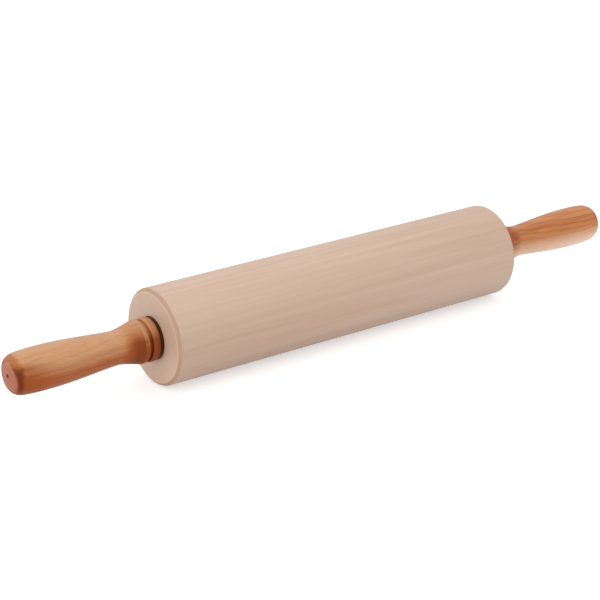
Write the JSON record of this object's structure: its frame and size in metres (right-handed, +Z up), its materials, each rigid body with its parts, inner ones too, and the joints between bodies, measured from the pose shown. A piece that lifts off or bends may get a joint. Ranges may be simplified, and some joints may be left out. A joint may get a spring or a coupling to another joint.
{
  "type": "rolling pin",
  "caption": "Wooden rolling pin: a pale barrel that spins on ball bearings round a steel axle, with a turned, stained handle screwed onto each end of it.",
  "frame": {"origin": "middle of the barrel, on the axle's centre line", "axes": "+X along the axle towards the right handle, +Z up, away from the surface that the barrel lies on"},
  "size_m": [0.5284, 0.0698, 0.0698],
  "materials": {
    "barrel_wood": "fine-sanded pale hardwood, oiled",
    "handle_wood": "stained red-brown hardwood, satin lacquer",
    "steel": "ground bright steel",
    "nylon": "moulded natural nylon",
    "seal_rubber": "moulded black rubber",
    "brass": "turned brass"
  },
  "bodies": {
    "handles": {"axle": "steel", "left_handle": "handle_wood", "left_threaded_insert": "brass", "left_washer": "steel", "left_spacer": "steel", "left_retaining_ring": "steel", "left_inner_race": "steel", "right_handle": "handle_wood", "right_threaded_insert": "brass", "right_washer": "steel", "right_spacer": "steel", "right_retaining_ring": "steel", "right_inner_race": "steel"},
    "barrel": {"barrel": "barrel_wood", "left_outer_race": "steel", "left_outboard_seal": "seal_rubber", "left_inboard_seal": "seal_rubber", "right_outer_race": "steel", "right_outboard_seal": "seal_rubber", "right_inboard_seal": "seal_rubber"},
    "left_cage": {"left_ball_cage": "nylon"},
    "left_ball_1": {"left_ball_1": "steel"},
    "left_ball_2": {"left_ball_2": "steel"},
    "left_ball_3": {"left_ball_3": "steel"},
    "left_ball_4": {"left_ball_4": "steel"},
    "left_ball_5": {"left_ball_5": "steel"},
    "left_ball_6": {"left_ball_6": "steel"},
    "left_ball_7": {"left_ball_7": "steel"},
    "left_ball_8": {"left_ball_8": "steel"},
    "right_cage": {"right_ball_cage": "nylon"},
    "right_ball_1": {"right_ball_1": "steel"},
    "right_ball_2": {"right_ball_2": "steel"},
    "right_ball_3": {"right_ball_3": "steel"},
    "right_ball_4": {"right_ball_4": "steel"},
    "right_ball_5": {"right_ball_5": "steel"},
    "right_ball_6": {"right_ball_6": "steel"},
    "right_ball_7": {"right_ball_7": "steel"},
    "right_ball_8": {"right_ball_8": "steel"}
  },
  "joints": [
    {"name": "barrel_spin", "type": "hinge", "parent": "handles", "child": "barrel", "pos_m": [0, 0, 0], "axis": [1, 0, 0], "continuous": true},
    {"name": "left_cage_orbit", "type": "hinge", "parent": "handles", "child": "left_cage", "pos_m": [-0.147, 0, 0], "axis": [1, 0, 0], "continuous": true},
    {"name": "left_ball_1_roll", "type": "hinge", "parent": "left_cage", "child": "left_ball_1", "pos_m": [-0.147, -0.00924, 0.00383], "axis": [1, 0, 0], "continuous": true},
    {"name": "left_ball_2_roll", "type": "hinge", "parent": "left_cage", "child": "left_ball_2", "pos_m": [-0.147, -0.00383, 0.00924], "axis": [1, 0, 0], "continuous": true},
    {"name": "left_ball_3_roll", "type": "hinge", "parent": "left_cage", "child": "left_ball_3", "pos_m": [-0.147, 0.00383, 0.00924], "axis": [1, 0, 0], "continuous": true},
    {"name": "left_ball_4_roll", "type": "hinge", "parent": "left_cage", "child": "left_ball_4", "pos_m": [-0.147, 0.00924, 0.00383], "axis": [1, 0, 0], "continuous": true},
    {"name": "left_ball_5_roll", "type": "hinge", "parent": "left_cage", "child": "left_ball_5", "pos_m": [-0.147, 0.00924, -0.00383], "axis": [1, 0, 0], "continuous": true},
    {"name": "left_ball_6_roll", "type": "hinge", "parent": "left_cage", "child": "left_ball_6", "pos_m": [-0.147, 0.00383, -0.00924], "axis": [1, 0, 0], "continuous": true},
    {"name": "left_ball_7_roll", "type": "hinge", "parent": "left_cage", "child": "left_ball_7", "pos_m": [-0.147, -0.00383, -0.00924], "axis": [1, 0, 0], "continuous": true},
    {"name": "left_ball_8_roll", "type": "hinge", "parent": "left_cage", "child": "left_ball_8", "pos_m": [-0.147, -0.00924, -0.00383], "axis": [1, 0, 0], "continuous": true},
    {"name": "right_cage_orbit", "type": "hinge", "parent": "handles", "child": "right_cage", "pos_m": [0.147, 0, 0], "axis": [1, 0, 0], "continuous": true},
    {"name": "right_ball_1_roll", "type": "hinge", "parent": "right_cage", "child": "right_ball_1", "pos_m": [0.147, 0.00924, 0.00383], "axis": [1, 0, 0], "continuous": true},
    {"name": "right_ball_2_roll", "type": "hinge", "parent": "right_cage", "child": "right_ball_2", "pos_m": [0.147, 0.00383, 0.00924], "axis": [1, 0, 0], "continuous": true},
    {"name": "right_ball_3_roll", "type": "hinge", "parent": "right_cage", "child": "right_ball_3", "pos_m": [0.147, -0.00383, 0.00924], "axis": [1, 0, 0], "continuous": true},
    {"name": "right_ball_4_roll", "type": "hinge", "parent": "right_cage", "child": "right_ball_4", "pos_m": [0.147, -0.00924, 0.00383], "axis": [1, 0, 0], "continuous": true},
    {"name": "right_ball_5_roll", "type": "hinge", "parent": "right_cage", "child": "right_ball_5", "pos_m": [0.147, -0.00924, -0.00383], "axis": [1, 0, 0], "continuous": true},
    {"name": "right_ball_6_roll", "type": "hinge", "parent": "right_cage", "child": "right_ball_6", "pos_m": [0.147, -0.00383, -0.00924], "axis": [1, 0, 0], "continuous": true},
    {"name": "right_ball_7_roll", "type": "hinge", "parent": "right_cage", "child": "right_ball_7", "pos_m": [0.147, 0.00383, -0.00924], "axis": [1, 0, 0], "continuous": true},
    {"name": "right_ball_8_roll", "type": "hinge", "parent": "right_cage", "child": "right_ball_8", "pos_m": [0.147, 0.00924, -0.00383], "axis": [1, 0, 0], "continuous": true}
  ],
  "couplings": [
    {"joint": "left_cage_orbit", "follows": "barrel_spin", "ratio": 0.619},
    {"joint": "left_ball_1_roll", "follows": "barrel_spin", "ratio": 1.9818},
    {"joint": "left_ball_2_roll", "follows": "barrel_spin", "ratio": 1.9818},
    {"joint": "left_ball_3_roll", "follows": "barrel_spin", "ratio": 1.9818},
    {"joint": "left_ball_4_roll", "follows": "barrel_spin", "ratio": 1.9818},
    {"joint": "left_ball_5_roll", "follows": "barrel_spin", "ratio": 1.9818},
    {"joint": "left_ball_6_roll", "follows": "barrel_spin", "ratio": 1.9818},
    {"joint": "left_ball_7_roll", "follows": "barrel_spin", "ratio": 1.9818},
    {"joint": "left_ball_8_roll", "follows": "barrel_spin", "ratio": 1.9818},
    {"joint": "right_cage_orbit", "follows": "barrel_spin", "ratio": 0.619},
    {"joint": "right_ball_1_roll", "follows": "barrel_spin", "ratio": 1.9818},
    {"joint": "right_ball_2_roll", "follows": "barrel_spin", "ratio": 1.9818},
    {"joint": "right_ball_3_roll", "follows": "barrel_spin", "ratio": 1.9818},
    {"joint": "right_ball_4_roll", "follows": "barrel_spin", "ratio": 1.9818},
    {"joint": "right_ball_5_roll", "follows": "barrel_spin", "ratio": 1.9818},
    {"joint": "right_ball_6_roll", "follows": "barrel_spin", "ratio": 1.9818},
    {"joint": "right_ball_7_roll", "follows": "barrel_spin", "ratio": 1.9818},
    {"joint": "right_ball_8_roll", "follows": "barrel_spin", "ratio": 1.9818}
  ]
}
